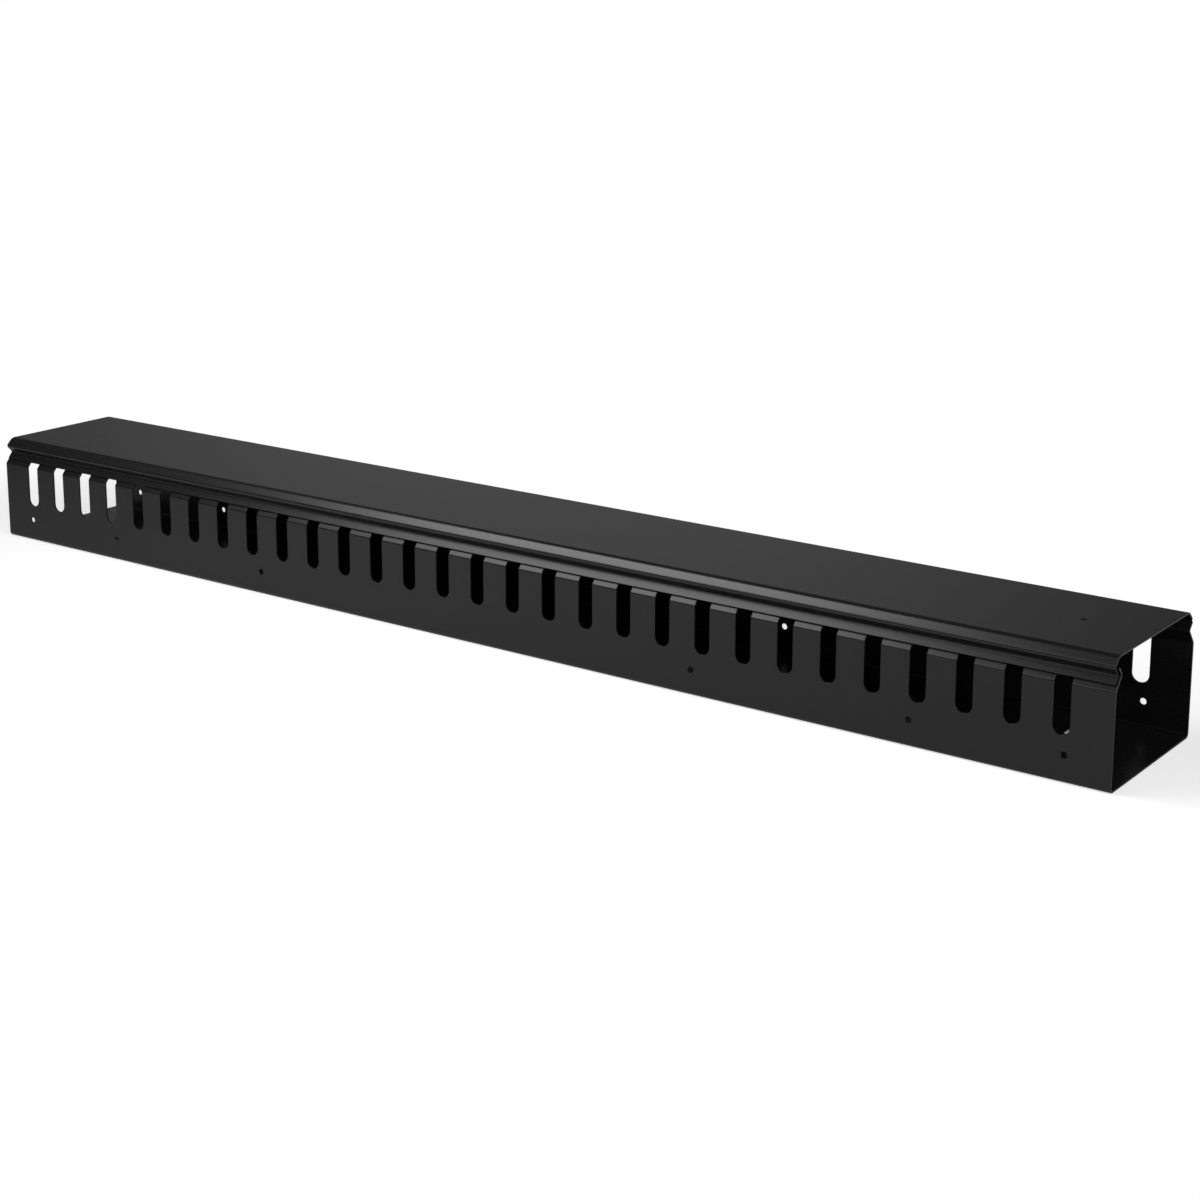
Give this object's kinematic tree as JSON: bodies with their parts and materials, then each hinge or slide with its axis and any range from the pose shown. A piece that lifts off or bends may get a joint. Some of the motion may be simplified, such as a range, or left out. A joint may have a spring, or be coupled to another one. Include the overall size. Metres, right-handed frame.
{
  "type": "vertical cable manager",
  "caption": "Long sheet-metal cable channel with slotted side walls, open ends and a crowned cover that snaps over its edges.",
  "frame": {"origin": "middle of the back's underside, with the part lying on its back", "axes": "+X along the length, +Y across the part, +Z from the back towards the cover"},
  "size_m": [0.8882, 0.108, 0.0751],
  "materials": {
    "channel_finish": "black fine-textured powder coat",
    "cover_finish": "black fine-textured powder coat"
  },
  "bodies": {
    "channel": {"slotted_channel": "channel_finish"},
    "cover": {"snap_cover": "cover_finish"}
  },
  "joints": [
    {"name": "cover_slide", "type": "slide", "parent": "channel", "child": "cover", "axis": [1, 0, 0], "range_m": [-0.888, 0.888]}
  ]
}
